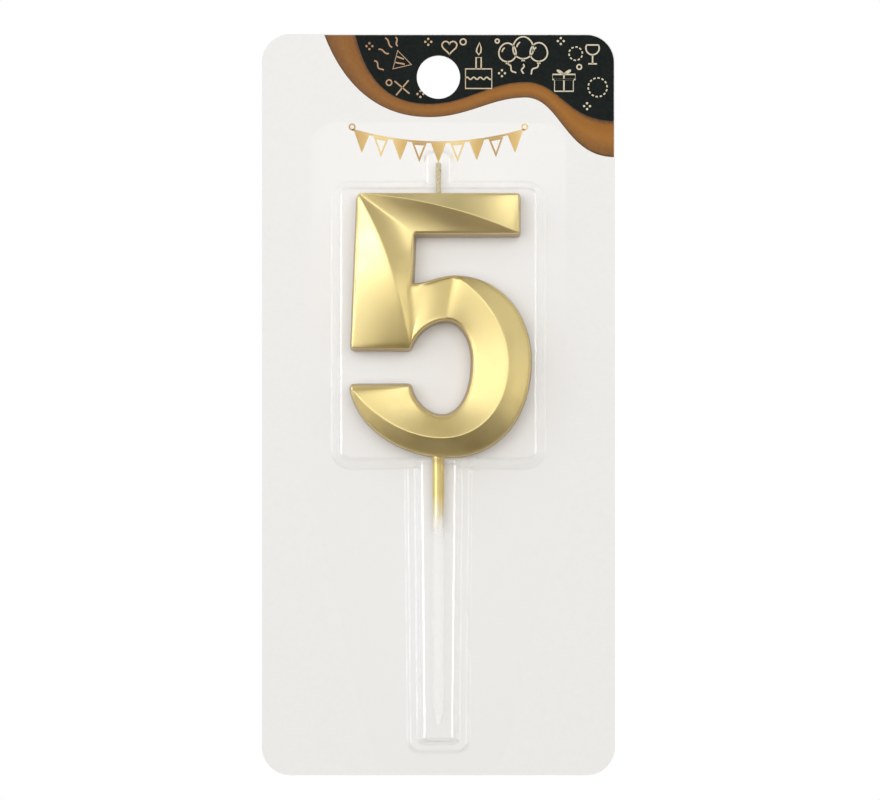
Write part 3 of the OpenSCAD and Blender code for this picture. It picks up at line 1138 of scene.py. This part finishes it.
def studio(gold_pieces, sheet):
    """A light tent: bright all round, brighter from the left and much darker from below."""
    # The strips bring out the gold's facets. On the clear sheet they would hide it in glare.
    area_light("strip_left", (-0.9, -0.75, -0.12), 0.05, 0.9, 11.5, only=gold_pieces)
    area_light("strip_right", (1.1, -0.6, -0.3), 0.04, 0.8, 3, only=gold_pieces)
    # Level with the card, these two show only in the sheet's folds.
    area_light("rim_left", (-1.2, 0.08, -0.08), 0.4, 1.2, 26, only=[sheet])
    area_light("rim_right", (1.2, 0.08, -0.08), 0.4, 1.2, 26, only=[sheet])
    area_light("fill", (-0.1, -1.3, -0.05), 1.3, 0.7, 17, gloss=False)
    area_light("front", (0.05, -1.3, 0.28), 1.4, 0.5, 12)

    world = bpy.data.worlds.new("studio")
    bpy.context.scene.world = world
    world.use_nodes = True
    tent = Tree(world.node_tree)
    toward = tent.add("ShaderNodeSeparateXYZ")
    tent.link(tent.add("ShaderNodeTexCoord").outputs["Generated"], toward.inputs[0])
    across, back, up = (tent.spread(way, -1, 1, 0, 1) for way in toward.outputs)
    colour = tent.blend(tent.ramp(back, TENT_RIM), tent.ramp(up, TENT), RIM_WHITE)
    colour = tent.blend(1, colour, tent.blend(across, TENT_LEFT, TENT_RIGHT), "MULTIPLY")
    nodes = tent.tree.nodes
    tent.link(colour, nodes["Background"].inputs["Color"])
    seen = tent.add("ShaderNodeBackground", Color=(1, 1, 1, 1), Strength=BACKDROP)
    direct = tent.add("ShaderNodeLightPath").outputs["Is Camera Ray"]
    tent.either(direct, nodes["Background"].outputs[0], seen.outputs[0], nodes["World Output"])


def floor():
    """A plain pale floor, well below the pack, which hangs from its hole."""
    drop, reach, sides = 1.6, 0.6, 64
    z = cad_low.z - drop
    mesh = bpy.data.meshes.new("floor")
    turns = np.linspace(0, 2 * math.pi, sides, False)
    ring = [(reach * math.cos(a), reach * math.sin(a), z) for a in turns]
    mesh.from_pydata(ring, [], [list(range(sides))])
    m = Nodes("floor_pale")
    m.set(Roughness=0.8)
    m.colour(m.ramp(m.noise(3, 2.0), [(0.3, (0.84, 0.84, 0.83)), (0.7, (0.87, 0.87, 0.86))]))
    mesh.materials.append(m.material)
    plane = bpy.data.objects.new("floor", mesh)
    bpy.context.scene.collection.objects.link(plane)


def camera():
    """Level with the middle of the pack and square to it. Lengths in metres."""
    distance, view_w, aim_x, aim_z = 0.585, 0.2244, 0.0004, -0.08233
    data = bpy.data.cameras.new("camera")
    data.sensor_width = 36
    data.lens = data.sensor_width * distance / view_w
    data.clip_start = 0.01
    cam = bpy.data.objects.new("camera", data)
    cam.location = (aim_x, -distance - CARD_FRONT * MM, aim_z)
    cam.rotation_euler = (math.pi / 2, 0, 0)
    bpy.context.scene.collection.objects.link(cam)
    bpy.context.scene.camera = cam


def finish_card():
    """The card's own mesh, with its cut edges softened."""
    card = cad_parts["backing_card"]
    card.data.materials.clear()
    card.data.materials.append(card_board())
    bevel = card.modifiers.new("cut_edge", "BEVEL")
    bevel.width = CUT_EDGE_R * MM
    bevel.segments = 2
    bevel.limit_method = "ANGLE"


bpy.context.scene.view_settings.view_transform = "Standard"
camera()
floor()
finish_card()
card_print()
gold_numeral = wax_numeral()
wick()
gold_pick = pick()
studio([gold_numeral, gold_pick], blister())
